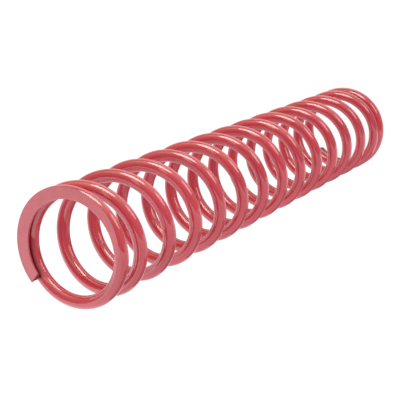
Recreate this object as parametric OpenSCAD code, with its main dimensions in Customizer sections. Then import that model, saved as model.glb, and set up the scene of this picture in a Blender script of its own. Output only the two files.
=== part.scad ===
// Barrier balance spring: a right-hand compression spring of round wire,
// closed and ground flat at both ends, standing on its lower seat.

/* [Coil] */
// Outside diameter of the coil
coil_od = 55; // [40:0.5:80]
// Diameter of the wire
wire_d = 6; // [4:0.1:8]
// Free length from one ground seat to the other
free_length = 313; // [220:1:420]
// Turns of wire from tip to tip
total_turns = 15; // [10:0.05:20]

/* [Ground ends] */
// Turns at each end that lie closed on their neighbour
closed_turns = 0.85; // [0.75:0.05:1.5]
// Turns over which the pitch opens from closed to full
opening_turns = 0.6; // [0.3:0.05:1.5]
// Gap left between an end turn and the turn it closes on
closed_gap = 0.2; // [0.1:0.05:0.6]
// Thickness of wire that grinding leaves at each tip
tip_thickness = 2.2; // [1:0.1:3]
// Direction of the upper tip, from +X towards +Y
upper_tip_angle = 0; // [0:1:359]

/* [Hidden] */

paint_red = [0.76, 0.16, 0.19];
wire_sides = 12;
wire_rings = 480;
grinding_stock = wire_d;

wire_r = wire_d / 2;
mean_r = coil_od / 2 - wire_r;
closed_pitch = wire_d + closed_gap;
// A tip's centreline lies this far inside its seat, or outside it when negative.
tip_height = tip_thickness - wire_r;
wire_rise = free_length - 2 * tip_height;
// Turns that count at full pitch: each opening counts as half its own length.
full_turns = total_turns - 2 * closed_turns - opening_turns;
full_pitch = closed_pitch + (wire_rise - closed_pitch * total_turns) / full_turns;
lower_tip_angle = upper_tip_angle - 360 * total_turns;

// Turns' worth of extra pitch gathered within t turns of a tip.
function opened(t) =
    let (u = min(max((t - closed_turns) / opening_turns, 0), 1))
    opening_turns * (pow(u, 3) - pow(u, 4) / 2) + max(t - closed_turns - opening_turns, 0);

// Height of the wire's centreline, t turns up from the lower tip.
function centre_height(t) =
    let (half = total_turns / 2, extra = full_pitch - closed_pitch)
    t <= half
        ? tip_height + closed_pitch * t + extra * opened(t)
        : free_length - tip_height - closed_pitch * (total_turns - t) - extra * opened(total_turns - t);

// Share of the opening, from 0 in a closed turn to 1 at full pitch.
function pitch_share(t) =
    let (from_tip = min(t, total_turns - t))
    let (u = min(max((from_tip - closed_turns) / opening_turns, 0), 1))
    u * u * (3 - 2 * u);

function pitch(t) = closed_pitch + (full_pitch - closed_pitch) * pitch_share(t);

// One round section of the wire, square to the wire's own direction.
function wire_ring(t) =
    let (turn = lower_tip_angle + 360 * t)
    let (lean = atan2(pitch(t), 2 * PI * mean_r))
    [for (i = [0 : wire_sides - 1])
        let (a = 360 * i / wire_sides)
        let (out = mean_r + wire_r * cos(a), up = wire_r * sin(a))
        [
            out * cos(turn) + up * sin(lean) * sin(turn),
            out * sin(turn) - up * sin(lean) * cos(turn),
            centre_height(t) + up * cos(lean)
        ]];

// The whole length of coiled wire, with square-cut tips.
module coiled_wire() {
    points = [for (k = [0 : wire_rings]) each wire_ring(total_turns * k / wire_rings)];
    skin = [for (k = [0 : wire_rings - 1], i = [0 : wire_sides - 1])
        let (j = (i + 1) % wire_sides, here = k * wire_sides, next = here + wire_sides)
        [here + i, here + j, next + j, next + i]];
    lower_tip = [[for (i = [wire_sides - 1 : -1 : 0]) i]];
    upper_tip = [[for (i = [0 : wire_sides - 1]) wire_rings * wire_sides + i]];
    polyhedron(points, concat(skin, lower_tip, upper_tip));
}

// What the grinding wheels take off beyond the two seats.
module ground_off() {
    wheel_w = coil_od + 2 * grinding_stock;
    for (seat = [-grinding_stock, free_length])
        translate([-wheel_w / 2, -wheel_w / 2, seat])
            cube([wheel_w, wheel_w, grinding_stock]);
}

module balance_spring() {
    color(paint_red)
        difference() {
            coiled_wire();
            ground_off();
        }
}

balance_spring();
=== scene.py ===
# %% [markdown]
# # Barrier balance spring
#
# A balance spring is one length of round steel wire, coiled right-handed, closed and ground flat at
# both ends, and painted red. It carries the weight of a barrier's boom. The lesson builds the wire
# as one curve, grinds its ends, paints it and lights it on a white floor.

# %% Load the frame
import math

import bpy
from mathutils import Matrix, Quaternion, Vector


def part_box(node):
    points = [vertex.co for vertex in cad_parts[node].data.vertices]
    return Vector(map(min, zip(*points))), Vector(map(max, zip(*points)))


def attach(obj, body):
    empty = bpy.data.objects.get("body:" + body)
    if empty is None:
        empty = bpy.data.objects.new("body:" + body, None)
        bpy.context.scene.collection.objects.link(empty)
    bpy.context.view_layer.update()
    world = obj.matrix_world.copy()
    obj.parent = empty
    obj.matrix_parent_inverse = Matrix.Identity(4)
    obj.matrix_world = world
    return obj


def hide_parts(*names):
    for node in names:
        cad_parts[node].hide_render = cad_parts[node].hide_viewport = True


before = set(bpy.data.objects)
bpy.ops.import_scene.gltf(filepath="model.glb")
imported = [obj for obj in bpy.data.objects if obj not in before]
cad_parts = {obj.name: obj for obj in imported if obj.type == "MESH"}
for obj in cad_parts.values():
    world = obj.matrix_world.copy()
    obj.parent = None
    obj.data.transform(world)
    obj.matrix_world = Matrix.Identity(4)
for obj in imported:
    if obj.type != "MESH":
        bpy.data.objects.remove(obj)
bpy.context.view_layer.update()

# %% [markdown]
# ## The sizes of the coil
#
# The frame already holds the spring as a plain solid, so the outside diameter and the free length are
# read from it. The other sizes are those a spring maker would write on the drawing: the wire, the
# turns, how far each end lies closed on its neighbour, and how thin grinding leaves the tip.

# %% Read and name the sizes
low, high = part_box("balance_spring")
COIL_R = (high[0] - low[0]) / 2
FREE_LENGTH = high[2] - low[2]
WIRE_R = 0.003
TOTAL_TURNS = 15
CLOSED_TURNS = 0.85
OPENING_TURNS = 0.6
CLOSED_GAP = 0.0002
TIP_THICKNESS = 0.0022

MEAN_R = COIL_R - WIRE_R
CLOSED_PITCH = 2 * WIRE_R + CLOSED_GAP
TIP_HEIGHT = TIP_THICKNESS - WIRE_R
FULL_TURNS = TOTAL_TURNS - 2 * CLOSED_TURNS - OPENING_TURNS
EXTRA_PITCH = (FREE_LENGTH - 2 * TIP_HEIGHT - CLOSED_PITCH * TOTAL_TURNS) / FULL_TURNS
print("coil radius", COIL_R, "free length", FREE_LENGTH, "full pitch", CLOSED_PITCH + EXTRA_PITCH)

# %% [markdown]
# ## The path of the wire
#
# A machine winds the end turns tight against each other and then opens the pitch. Height is therefore
# not a straight line against turns: it climbs slowly, bends over a short stretch, and climbs fast. The
# same rule read from the other tip gives the upper half, so the coil is the same from both ends.


# %% Work out the height of the wire's centre
def opened(turns):
    """Turns' worth of extra pitch gathered within that many turns of a tip."""
    share = min(max((turns - CLOSED_TURNS) / OPENING_TURNS, 0), 1)
    return OPENING_TURNS * (share ** 3 - share ** 4 / 2) + max(turns - CLOSED_TURNS - OPENING_TURNS, 0)


def centre_height(turns):
    """Height of the wire's centre, that many turns up from the lower tip."""
    if turns > TOTAL_TURNS / 2:
        return FREE_LENGTH - centre_height(TOTAL_TURNS - turns)
    return TIP_HEIGHT + CLOSED_PITCH * turns + EXTRA_PITCH * opened(turns)


print("heights of the first turns", [round(centre_height(turns), 4) for turns in range(5)])

# %% [markdown]
# ## The coiled wire
#
# A screw modifier would give an even pitch only. A curve can follow any rule, so a path is added, its
# points are laid along the coil, and a round bevel turns the line into wire. The twist mode Z-Up keeps
# one point of every round section at the top, which the grinding step relies on.

# %% Lay a curve along the coil and make it wire
RINGS_PER_TURN = 96
WIRE_SIDES = 48

bpy.ops.object.select_all(action="DESELECT")
bpy.ops.curve.primitive_nurbs_path_add(location=(0, 0, 0))
wire = bpy.context.object
wire.name = "painted_coil"
wire.data.splines.clear()
path = wire.data.splines.new("POLY")
path.points.add(TOTAL_TURNS * RINGS_PER_TURN)
for index, point in enumerate(path.points):
    turns = index / RINGS_PER_TURN
    angle = math.tau * turns
    point.co = (MEAN_R * math.cos(angle), MEAN_R * math.sin(angle), centre_height(turns), 1)

wire.data.dimensions = "3D"
wire.data.twist_mode = "Z_UP"
wire.data.bevel_mode = "ROUND"
wire.data.bevel_depth = WIRE_R
wire.data.bevel_resolution = WIRE_SIDES // 2 - 2
bpy.ops.object.convert(target="MESH")
wire = bpy.context.object
print("wire of", len(wire.data.vertices) // WIRE_SIDES, "rings and", len(wire.data.polygons), "faces")

# %% [markdown]
# ## The ground seats
#
# A grinding wheel takes each end down to one flat plane. Bisect would cut that plane, but it leaves
# slivers wherever the plane passes close to a ring. Here the points of each section slide round it
# instead, until nine of them lie across the flat, three round off each edge, and the rest share the
# part of the circle that is left. The edge rows then run along the true edge of the flat.

# %% Say where each point of a ground section goes
EDGE_R = 0.0002
FLAT_ROWS = (0, 0.35, 0.7, 0.93, 1)
EDGE_STEPS = 3
FLAT_STEPS = len(FLAT_ROWS) - 1
ARC_START = FLAT_STEPS + EDGE_STEPS
HALF_STEPS = WIRE_SIDES // 2
NARROWEST_FLAT = math.radians(8)


def ground_point(step, cut):
    """Sideways place and height of a point of a section cut that far above its centre."""
    row = min(cut, WIRE_R * math.cos(NARROWEST_FLAT))
    flat_half = math.sqrt((WIRE_R - EDGE_R) ** 2 - (row - EDGE_R) ** 2)
    corner = math.atan2(flat_half, row - EDGE_R)
    if step > ARC_START:
        turn = corner + (math.pi - corner) * (step - ARC_START) / (HALF_STEPS - ARC_START)
        return WIRE_R * math.sin(turn), WIRE_R * math.cos(turn)
    if step > FLAT_STEPS:
        turn = corner * (step - FLAT_STEPS) / EDGE_STEPS
        side, rise = flat_half + EDGE_R * math.sin(turn), row - EDGE_R + EDGE_R * math.cos(turn)
    else:
        side, rise = flat_half * FLAT_ROWS[step], row
    if cut > row:
        rise = min(math.sqrt(WIRE_R ** 2 - side ** 2), cut)
    return side, rise


print("half width of the flat at the tip", ground_point(FLAT_STEPS, TIP_HEIGHT)[0])

# %% [markdown]
# ## The axes of a ring
#
# Every section of the wire stands square to it, so the sections lean as the wire climbs. A mesh keeps no
# record of that lean, so a helper works out each ring's centre and axes again from the path.


# %% Find the axes of a ring
def ring_axes(ring):
    """Centre of a ring, its direction away from the coil's axis, and its upward direction."""
    turns = ring / RINGS_PER_TURN
    angle = math.tau * turns
    outward = Vector((math.cos(angle), math.sin(angle), 0))
    step = 1 / RINGS_PER_TURN
    before = centre_height(max(turns - step, 0))
    after = centre_height(min(turns + step, TOTAL_TURNS))
    rise = (after - before) / (2 * step)
    lean = math.atan2(rise, math.tau * MEAN_R)
    around = Vector((-math.sin(angle), math.cos(angle), 0))
    upward = Vector((0, 0, math.cos(lean))) - around * math.sin(lean)
    return outward * MEAN_R + Vector((0, 0, centre_height(turns))), outward, upward


print("centre, outward and upward of the lower tip", ring_axes(0))

# %% [markdown]
# ## Both ends at the wheel
#
# The rings near each tip are taken one by one. How far a ring's centre lies from the plane of the seat
# says how much of its section the wheel leaves, and its points slide to their places on that. Past the end
# of the flat they settle back to even steps, so that no crease is left in the round wire.

# %% Grind both ends
SETTLING_TURNS = 0.25

runout_turns = (WIRE_R - TIP_HEIGHT) / CLOSED_PITCH
ground_rings = math.ceil((runout_turns + SETTLING_TURNS) * RINGS_PER_TURN)
total_rings = TOTAL_TURNS * RINGS_PER_TURN
vertices = wire.data.vertices
for ring in [*range(ground_rings), *range(total_rings - ground_rings + 1, total_rings + 1)]:
    centre, outward, upward = ring_axes(ring)
    upper = ring > total_rings / 2
    seat_way = upward if upper else -upward
    from_tip = min(ring, total_rings - ring) / RINGS_PER_TURN
    cut = (FREE_LENGTH - centre.z if upper else centre.z) / upward.z
    settle = min(max((from_tip - runout_turns) / SETTLING_TURNS, 0), 1)
    settle = settle * settle * (3 - 2 * settle)
    for vertex in vertices[ring * WIRE_SIDES:(ring + 1) * WIRE_SIDES]:
        spoke = vertex.co - centre
        even_turn = math.atan2(spoke.dot(outward), spoke.dot(seat_way))
        step = round(even_turn / math.tau * WIRE_SIDES)
        side, rise = ground_point(abs(step), cut)
        if settle > 0:
            turn = math.atan2(side, rise) * (1 - settle) + abs(even_turn) * settle
            side, rise = WIRE_R * math.sin(turn), WIRE_R * math.cos(turn)
        vertex.co = centre + outward * math.copysign(side, step) + seat_way * rise

print("ground", ground_rings, "rings at each end; heights", min(v.co.z for v in vertices),
      max(v.co.z for v in vertices))

# %% [markdown]
# ## The cut tips
#
# The wire was sheared off before it was ground. Shears dent the side they enter and tear the other, so
# the face of a tip leans back at the seat, most of all towards the inside of the coil, and its deep rim is
# ragged. Both are small moves of the last ring, so its points are moved in code: two waves of different
# lengths make a rim that looks torn and comes out the same on every run.

# %% Lean the tips back
TIP_SETBACK = 0.0013
OUTER_SHARE = 0.25
TIP_RAG = 0.00012
RAG_WAVES = ((0.7, 1.0), (1.7, 0.6))

for ring, way in ((0, -1), (total_rings, 1)):
    centre, outward, upward = ring_axes(ring)
    forward = outward.cross(upward) * -way
    for index, vertex in enumerate(vertices[ring * WIRE_SIDES:(ring + 1) * WIRE_SIDES]):
        depth = min(vertex.co.z, FREE_LENGTH - vertex.co.z) / TIP_THICKNESS
        inner = 0.5 - (vertex.co - centre).dot(outward) / (2 * WIRE_R)
        setback = TIP_SETBACK * (OUTER_SHARE + (1 - OUTER_SHARE) * inner) * (1 - depth)
        rag = TIP_RAG * depth * sum(size * math.sin(rate * index) for rate, size in RAG_WAVES)
        vertex.co += forward * (rag - setback)
    print("tip", ring, "faces", [round(value, 3) for value in forward])

# %% [markdown]
# ## The faces of the tips
#
# Two holes are left where the curve ended. Each gets one face, and the edges round it are bevelled by a
# little, because paint rounds off a sharp edge. The bevel is left smooth and the face of the tip flat.

# %% Close and break the tips
TIP_EDGE = 0.00012
TIP_EDGE_STEPS = 3
SMOOTH_ANGLE = math.radians(40)

bpy.ops.object.mode_set(mode="EDIT")
bpy.ops.mesh.select_all(action="DESELECT")
bpy.ops.mesh.select_mode(type="EDGE")
bpy.ops.mesh.select_non_manifold()
bpy.ops.mesh.fill_holes(sides=0)
bpy.ops.mesh.select_all(action="SELECT")
bpy.ops.mesh.normals_make_consistent(inside=False)
bpy.ops.object.mode_set(mode="OBJECT")
for polygon in wire.data.polygons:
    polygon.select = len(polygon.vertices) == WIRE_SIDES
bpy.ops.object.mode_set(mode="EDIT")
bpy.ops.mesh.select_mode(type="FACE")
bpy.ops.mesh.region_to_loop()
bpy.ops.mesh.bevel(offset=TIP_EDGE, segments=TIP_EDGE_STEPS, affect="EDGES", clamp_overlap=True)
bpy.ops.object.mode_set(mode="OBJECT")
bpy.ops.object.shade_smooth_by_angle(angle=SMOOTH_ANGLE)
print("closed wire of", len(wire.data.vertices), "points and", len(wire.data.polygons), "faces")

# %% [markdown]
# ## Painted shade in the groove
#
# An end turn lies so close on its neighbour that light hardly gets between them, so the groove
# looks almost black. That shade is painted into the enamel's colour. Each point of the wire is told how
# much room it has to the next turn, and an attribute carries that to the paint as a share: small deep in
# the groove, and 1 in the open. A shader node for ambient occlusion would do much the same, but an
# attribute needs no rays and is the same every time.

# %% Measure the groove
GROOVE_DARK = 0.15
GROOVE_ROOM = 0.0022


def room_to_next_turn(point):
    """Distance from a point of the wire to the surface of the nearest other turn."""
    around = math.atan2(point.y, point.x) / math.tau % 1
    off_centre = math.hypot(point.x, point.y) - MEAN_R
    heights = [centre_height(turns + around) for turns in range(TOTAL_TURNS)]
    # The nearest centre is that of the point's own turn, so the second nearest is its neighbour's.
    distances = sorted(math.hypot(off_centre, point.z - height) for height in heights)
    return distances[1] - WIRE_R


# Painted shade: a share from 1 in the open down to GROOVE_DARK deep in the groove darkens the enamels.
reach = wire.data.attributes.new("painted_groove_shade", "FLOAT", "POINT")
for vertex, entry in zip(wire.data.vertices, reach.data):
    share = min(max(room_to_next_turn(vertex.co) / GROOVE_ROOM, 0), 1)
    entry.value = GROOVE_DARK + (1 - GROOVE_DARK) * share * share
print("points in the groove", sum(entry.value < 1 for entry in reach.data))

# %% [markdown]
# ## Helpers for materials
#
# The floor, the cards and the surroundings are built from nodes as well as the paint, so adding a node,
# a noise texture and a colour ramp each get a helper. Noise is counted in features per metre.


# %% Write the node helpers
def add_node(tree, kind, **settings):
    """A new node of that kind with its properties set."""
    node = tree.nodes.new(kind)
    for name, value in settings.items():
        setattr(node, name, value)
    return node


def noise(tree, coordinates, scale, detail):
    """A noise texture on those coordinates, in features per metre."""
    node = add_node(tree, "ShaderNodeTexNoise")
    node.inputs["Scale"].default_value = scale
    node.inputs["Detail"].default_value = detail
    tree.links.new(coordinates, node.inputs["Vector"])
    return node.outputs["Fac"]


def ramp(tree, value, stops):
    """A colour ramp of (position, colour) stops, read at that value."""
    node = add_node(tree, "ShaderNodeValToRGB")
    elements = node.color_ramp.elements
    while len(elements) < len(stops):
        elements.new(0.5)
    for element, (position, colour) in zip(elements, stops):
        element.position = position
        element.color = (*colour, 1)
    tree.links.new(value, node.inputs["Fac"])
    return node.outputs["Color"]


def rescale(tree, share, start, end):
    """A value that goes from start to end as the share goes from 0 to 1."""
    node = add_node(tree, "ShaderNodeMapRange")
    node.inputs["To Min"].default_value = start
    node.inputs["To Max"].default_value = end
    tree.links.new(share, node.inputs["Value"])
    return node.outputs["Result"]


print("helpers", [helper.__name__ for helper in (add_node, noise, ramp, rescale)])

# %% [markdown]
# ## A recipe for enamel
#
# The spring is dipped in thick red enamel, ground faces included. Enamel is never one even colour,
# because its thickness varies, so noise moves it between two reds. A clear coat over a dull body gives the
# shine, and a faint bump in that body the uneven look of a thick coat. One helper mixes any such enamel.

# %% Write the recipe
THIN_AT = 0.3
THICK_AT = 0.7
BODY_ROUGHNESS = (0.35, 0.45)
BODY_SPECULAR = 0.1
COAT_IOR = 1.75
PEEL_SCALE = 420
PEEL_DETAIL = 3
PEEL_STRENGTH = 0.06
PEEL_DEPTH = 0.0004


def mix_enamel(name, dark, light, speckles, detail, coat, coat_roughness):
    """An enamel between two reds, with so many speckles to the metre, under that much clear coat."""
    enamel = bpy.data.materials.new(name)
    enamel.use_nodes = True
    tree = enamel.node_tree
    shader = tree.nodes["Principled BSDF"]
    place = add_node(tree, "ShaderNodeTexCoord").outputs["Object"]
    thickness = noise(tree, place, speckles, detail)
    # Painted shade: the reds are scaled down by the groove's shade share.
    reach = add_node(tree, "ShaderNodeAttribute", attribute_name="painted_groove_shade")
    colour = add_node(tree, "ShaderNodeVectorMath", operation="SCALE")
    reds = ramp(tree, thickness, [(THIN_AT, dark), (THICK_AT, light)])
    tree.links.new(reds, colour.inputs["Vector"])
    tree.links.new(reach.outputs["Fac"], colour.inputs["Scale"])
    tree.links.new(colour.outputs["Vector"], shader.inputs["Base Color"])
    tree.links.new(rescale(tree, thickness, *BODY_ROUGHNESS), shader.inputs["Roughness"])
    shader.inputs["Specular IOR Level"].default_value = BODY_SPECULAR
    shader.inputs["Coat Weight"].default_value = coat
    shader.inputs["Coat Roughness"].default_value = coat_roughness
    shader.inputs["Coat IOR"].default_value = COAT_IOR
    peel = add_node(tree, "ShaderNodeBump")
    peel.inputs["Strength"].default_value = PEEL_STRENGTH
    peel.inputs["Distance"].default_value = PEEL_DEPTH
    tree.links.new(noise(tree, place, PEEL_SCALE, PEEL_DETAIL), peel.inputs["Height"])
    tree.links.new(peel.outputs["Normal"], shader.inputs["Normal"])
    print(name, "of", len(tree.nodes), "nodes")
    return enamel


print("recipe with a clear coat of IOR", COAT_IOR)

# %% [markdown]
# ## Three enamels
#
# On the drawn wire the enamel flows out to a hard shine. On the ground faces it sinks into the grinding
# marks and dries duller, and its paler red there is partly a painted reflection of the pale surroundings
# that a flat mirrors. The torn tips are darker and without shine.

# %% Mix the enamels
gloss_reds = (0.49, 0.031, 0.048), (0.59, 0.043, 0.064)
# Paler than the gloss reds, partly as a painted reflection of the pale surroundings in the ground flats.
satin_and_sheen_reds = (0.52, 0.095, 0.113), (0.60, 0.115, 0.133)
# Much darker reds with almost no coat, for the faces of the torn tips.
dark_tip_reds = (0.20, 0.012, 0.030), (0.40, 0.022, 0.050)
gloss = mix_enamel("red_gloss_enamel", *gloss_reds, speckles=45, detail=2, coat=1.0, coat_roughness=0.03)
satin = mix_enamel("red_satin_enamel", *satin_and_sheen_reds, speckles=260, detail=4, coat=1.0, coat_roughness=0.4)
dark_tip = mix_enamel("red_dark_tip_enamel", *dark_tip_reds, speckles=1500, detail=3, coat=0.05, coat_roughness=0.4)

# %% [markdown]
# ## Painting the faces
#
# The wire has all three enamels as its material slots. A ground face lies in the plane of a seat, and the
# face of a tip is the only one with as many corners as the wire has sides, which tells all faces apart.

# %% Paint the faces
GROUND_DEPTH = 0.00004
GLOSS_SLOT, SATIN_SLOT, DARK_TIP_SLOT = range(3)

wire.data.materials.clear()
for enamel in (gloss, satin, dark_tip):
    wire.data.materials.append(enamel)
painted = [0, 0, 0]
for polygon in wire.data.polygons:
    slot = GLOSS_SLOT
    if min(polygon.center.z, FREE_LENGTH - polygon.center.z) < GROUND_DEPTH:
        slot = SATIN_SLOT
    if len(polygon.vertices) == WIRE_SIDES:
        slot = DARK_TIP_SLOT
    polygon.material_index = slot
    painted[slot] += 1
# The third count is of the dark tip faces.
print("faces in gloss, satin and thin enamel", painted)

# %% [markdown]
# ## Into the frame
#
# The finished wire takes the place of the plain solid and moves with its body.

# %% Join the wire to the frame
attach(wire, "root")
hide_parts("balance_spring")
print("joined", wire.name)

# %% [markdown]
# ## Floor
#
# The spring stands on a wide white floor that fills the background. One large plane is enough, because the
# camera looks down and never sees its edge.

# %% Lay the floor
FLOOR_SIZE = 24

bpy.ops.mesh.primitive_plane_add(size=FLOOR_SIZE, location=(0, 0, 0))
floor = bpy.context.object
floor.name = "studio_floor"
print("floor", FLOOR_SIZE, "m across")

# %% [markdown]
# ## White for the floor
#
# More light would turn the floor white and wash out the red with it. So what the camera and mirror-like
# rays see of the floor is mostly its own even glow, with a little of the lit floor added, so that the spring
# keeps a faint shadow. All other rays meet a plain light grey.

# %% Paint the floor white
FLOOR_GREY = 0.8
SHADOW_SHARE = 0.18
FLOOR_GLOW = 0.90

floor_white = bpy.data.materials.new("floor_white")
floor_white.use_nodes = True
tree = floor_white.node_tree
tree.nodes.clear()
rays = add_node(tree, "ShaderNodeLightPath")
seen = add_node(tree, "ShaderNodeMath", operation="MAXIMUM")
seen_all = add_node(tree, "ShaderNodeMath", operation="MAXIMUM")
tree.links.new(rays.outputs["Is Camera Ray"], seen.inputs[0])
tree.links.new(rays.outputs["Is Glossy Ray"], seen.inputs[1])
tree.links.new(seen.outputs["Value"], seen_all.inputs[0])
tree.links.new(rays.outputs["Is Transmission Ray"], seen_all.inputs[1])
lit = add_node(tree, "ShaderNodeBsdfDiffuse")
lit.inputs["Color"].default_value = (FLOOR_GREY, FLOOR_GREY, FLOOR_GREY, 1)
shadow_keeper = add_node(tree, "ShaderNodeBsdfDiffuse")
shadow_keeper.inputs["Color"].default_value = (SHADOW_SHARE, SHADOW_SHARE, SHADOW_SHARE, 1)
glow = add_node(tree, "ShaderNodeEmission")
glow.inputs["Strength"].default_value = FLOOR_GLOW
white = add_node(tree, "ShaderNodeAddShader")
tree.links.new(shadow_keeper.outputs["BSDF"], white.inputs[0])
tree.links.new(glow.outputs["Emission"], white.inputs[1])
choice = add_node(tree, "ShaderNodeMixShader")
tree.links.new(seen_all.outputs["Value"], choice.inputs["Fac"])
tree.links.new(lit.outputs["BSDF"], choice.inputs[1])
tree.links.new(white.outputs["Shader"], choice.inputs[2])
output = add_node(tree, "ShaderNodeOutputMaterial")
tree.links.new(choice.outputs["Shader"], output.inputs["Surface"])
floor.data.materials.append(floor_white)
print("floor white of", len(tree.nodes), "nodes")

# %% [markdown]
# ## Camera
#
# The spring stands, because on its side it would roll. The camera therefore looks down on it from one
# side, and is rolled about its own axis until the spring lies across the picture.

# %% Set up the camera
CAMERA_PLACE = Vector((-0.268992, 0.068581, 0.638033))
CAMERA_WAY = Vector((0.52404, -0.12579, -0.84235))
CAMERA_ROLL = math.radians(-114.511)
LENS_MM = 91.153
SENSOR_MM = 36
NEAREST_SEEN = 0.01
FARTHEST_SEEN = 100

bpy.ops.object.camera_add(location=CAMERA_PLACE)
camera = bpy.context.object
camera.rotation_mode = "QUATERNION"
camera.rotation_quaternion = CAMERA_WAY.to_track_quat("-Z", "Y") @ Quaternion((0, 0, 1), CAMERA_ROLL)
camera.data.lens = LENS_MM
camera.data.sensor_width = SENSOR_MM
camera.data.clip_start = NEAREST_SEEN
camera.data.clip_end = FARTHEST_SEEN
bpy.context.scene.camera = camera
bpy.context.scene.view_settings.view_transform = "Standard"
print("camera", [round(value, 3) for value in camera.location], "lens", camera.data.lens)

# %% [markdown]
# ## Directions for the light
#
# Gloss shows what surrounds it, so enamel is lit for its reflections. In the picture the spring seems to
# lie on a pale table, and the lamps are laid out round that lying spring: so many metres to the right of
# its middle, behind it, and up from it. One helper turns those three numbers into a place in the scene.

# %% Find the lying spring's directions
COIL_AXIS = Vector((0, 0, 1))
picture_right = camera.rotation_quaternion @ Vector((1, 0, 0))
table_up = COIL_AXIS.cross(picture_right).normalized()
away = table_up.cross(picture_right)
middle = Vector((0, 0, FREE_LENGTH / 2))
print("the table's up", [round(value, 3) for value in table_up])


def round_spring(right, behind, up):
    """The point that many metres right of, behind and up from the lying spring's middle."""
    return middle + picture_right * right + away * behind + table_up * up


# %% [markdown]
# ## Soft boxes for the highlights
#
# Small soft boxes close above the spring draw the bright streaks along the turns, and a dim one between
# them joins the streaks. Close lamps would also wash out the red near them, so these count in gloss only.
# The radiance of an oval lamp is its power over pi times its area, so the helper finds the power from it.

# %% Hang the soft boxes
WHITE = (1.0, 1.0, 1.0)


def hang_lamp(name, place, aim, width, height, radiance, colour=WHITE):
    """An oval soft box at that place that faces the aim, its height along the coil's axis."""
    back = (place - aim).normalized()
    across = COIL_AXIS.cross(back).normalized()
    turn = Matrix((across, back.cross(across), back)).transposed()
    bpy.ops.object.light_add(type="AREA", location=place, rotation=turn.to_euler())
    lamp = bpy.context.object
    lamp.name = name
    lamp.data.shape = "ELLIPSE"
    lamp.data.size = width
    lamp.data.size_y = height
    area = math.pi / 4 * width * height
    lamp.data.energy = radiance * math.pi * area
    lamp.data.color = colour
    lamp.visible_camera = False
    return lamp


foot = Vector((0, 0, 0))
key = hang_lamp("key_soft_box", round_spring(-0.032, -0.146, 0.331), foot,
                width=0.22, height=0.24, radiance=6.8, colour=(1.0, 0.94, 0.88))
side = hang_lamp("side_soft_box", round_spring(0.255, -0.145, 0.224), middle,
                 width=0.17, height=0.26, radiance=3.2, colour=(1.0, 0.97, 0.93))
bridge = hang_lamp("bridge_soft_box", round_spring(0.12, -0.15, 0.29), middle,
                   width=0.14, height=0.24, radiance=0.45, colour=(1.0, 0.95, 0.90))
for lamp in (key, side, bridge):
    lamp.visible_diffuse = False
    print(lamp.name, "of", round(lamp.data.energy, 3), "W")

# %% [markdown]
# ## Even light for the red
#
# A large soft box far off lights the body of the paint evenly from end to end. It is kept out of the
# gloss, where it would only be one more streak.

# %% Hang the fill
fill = hang_lamp("fill_soft_box", round_spring(0.7, -0.9, 0.9), middle,
                 width=1.2, height=1.2, radiance=1.40)
fill.visible_glossy = False
print("fill of", round(fill.data.energy, 2), "W")

# %% [markdown]
# ## Table and walls
#
# The wide pale and warm tones on the turns are a table and walls, mirrored. Large dim lamps stand in for
# them: pale ones to the left, a warm one above, a narrow one in front. A small one lies where the table
# would be before the near end and lightens that end's face, in its gloss only.

# %% Hang the table and the walls
hang_lamp("left_table", round_spring(-1.14, 0.10, -0.80), middle,
          width=1.6, height=1.6, radiance=0.24, colour=(0.95, 0.97, 1.0))
hang_lamp("left_wall", round_spring(-1.36, 0.29, 0.12), middle,
          width=0.8, height=0.8, radiance=0.9, colour=(1.0, 0.97, 1.0))
hang_lamp("warm_wall", round_spring(-0.74, -0.07, 1.19), middle,
          width=1.0, height=1.0, radiance=0.37, colour=(0.55, 0.66, 0.06))
hang_lamp("front_strip", round_spring(-0.45, -1.12, 0.70), middle,
          width=0.22, height=1.1, radiance=1.1)
near_table_place = round_spring(-0.20, -0.20, -0.035)
near_table = hang_lamp("near_table", near_table_place, near_table_place + table_up,
                       width=0.30, height=0.30, radiance=0.4)
near_table.visible_diffuse = False

# %% [markdown]
# ## Cards
#
# A photographer sets cards near a shiny thing: grey ones draw darker lines in it, and white ones lighter
# lines. One grey card stands behind the spring, and five cards lie on the floor and fan out from its foot.
# They too are there for the gloss alone, so a helper makes each card glow and hides it from other rays.


# %% Write the helper for cards
def light_card(card, name, level):
    """Makes that card glow at that level, for gloss only."""
    card.name = name
    material = bpy.data.materials.new(name)
    material.use_nodes = True
    material.node_tree.nodes.clear()
    glow = add_node(material.node_tree, "ShaderNodeEmission")
    glow.inputs["Strength"].default_value = level
    surface = add_node(material.node_tree, "ShaderNodeOutputMaterial").inputs["Surface"]
    material.node_tree.links.new(glow.outputs["Emission"], surface)
    card.data.materials.append(material)
    card.visible_camera = False
    card.visible_diffuse = False
    card.visible_shadow = False
    print(name, "glows at", level)


print("helper", light_card.__name__)

# %% [markdown]
# ## Standing and lying cards
#
# A standing card is a plane turned to face the spring. A lying one is a slice of a ring, a plane whose four
# corners are moved onto two angles and two distances from the coil's axis, just above the floor.

# %% Set the cards
CARD_NEAR = 0.032
CARD_FAR = 3.0
CARD_LIFT = 0.001


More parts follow.
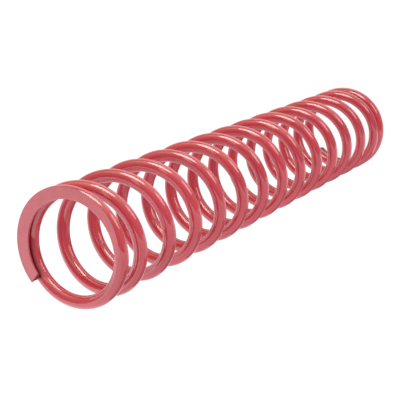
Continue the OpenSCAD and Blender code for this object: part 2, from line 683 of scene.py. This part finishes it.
def stand_card(name, way, distance, width, height, level):
    """A card that stands on the floor, that far off and square to that way."""
    bpy.ops.mesh.primitive_plane_add(size=1)
    card = bpy.context.object
    card.scale = (width, height, 1)
    card.rotation_euler = (-way).to_track_quat("Z", "Y").to_euler()
    card.location = way * distance + COIL_AXIS * height / 2
    bpy.ops.object.transform_apply(location=True, rotation=True, scale=True)
    light_card(card, name, level)


def lay_card(name, start, end, level, near=CARD_NEAR, far=CARD_FAR):
    """A card on the floor between two angles, in degrees, and two distances from the coil's axis."""
    bpy.ops.mesh.primitive_plane_add(size=1)
    card = bpy.context.object
    corners = [(reach, math.radians(angle)) for reach in (near, far) for angle in (start, end)]
    for vertex, (reach, angle) in zip(card.data.vertices, corners):
        vertex.co = (reach * math.cos(angle), reach * math.sin(angle), CARD_LIFT)
    light_card(card, name, level)


white_card_end = 0.25
stand_card("back_card", table_up, distance=0.75, width=3.0, height=0.24, level=0.25)
lay_card("right_card", 50, 100, level=0.3)
lay_card("white_card", 100, 138, level=1.5, far=white_card_end)
lay_card("pale_card", 100, 138, level=0.95, near=white_card_end)
lay_card("far_card", 138, 180, level=0.45)
lay_card("front_card", 195, 250, level=1.35)

# %% [markdown]
# ## Surroundings
#
# The world holds the rest of the room, as a ramp along the table's up: pale below the table's far edge,
# a dark band just above it, and then a dome that grows lighter and warmer towards its top.

# %% Colour the surroundings
world = bpy.data.worlds.new("studio_surroundings")
world.use_nodes = True
bpy.context.scene.world = world
tree = world.node_tree
rise = add_node(tree, "ShaderNodeVectorMath", operation="DOT_PRODUCT")
rise.inputs[1].default_value = table_up
tree.links.new(add_node(tree, "ShaderNodeTexCoord").outputs["Generated"], rise.inputs[0])
share = add_node(tree, "ShaderNodeMapRange")
share.inputs["From Min"].default_value = -1
tree.links.new(rise.outputs["Value"], share.inputs["Value"])
rooms = ramp(tree, share.outputs["Result"], [
    (0.30, (1.10, 1.00, 1.07)),
    (0.395, (1.40, 1.40, 1.45)),
    (0.41, (0.25, 0.25, 0.30)),
    (0.60, (0.45, 0.40, 0.45)),
    (0.75, (0.65, 0.50, 0.48)),
    (0.87, (0.95, 0.75, 0.55)),
    (0.97, (1.90, 1.80, 1.50)),
])
tree.links.new(rooms, tree.nodes["Background"].inputs["Color"])
print("surroundings of", len(tree.nodes), "nodes")
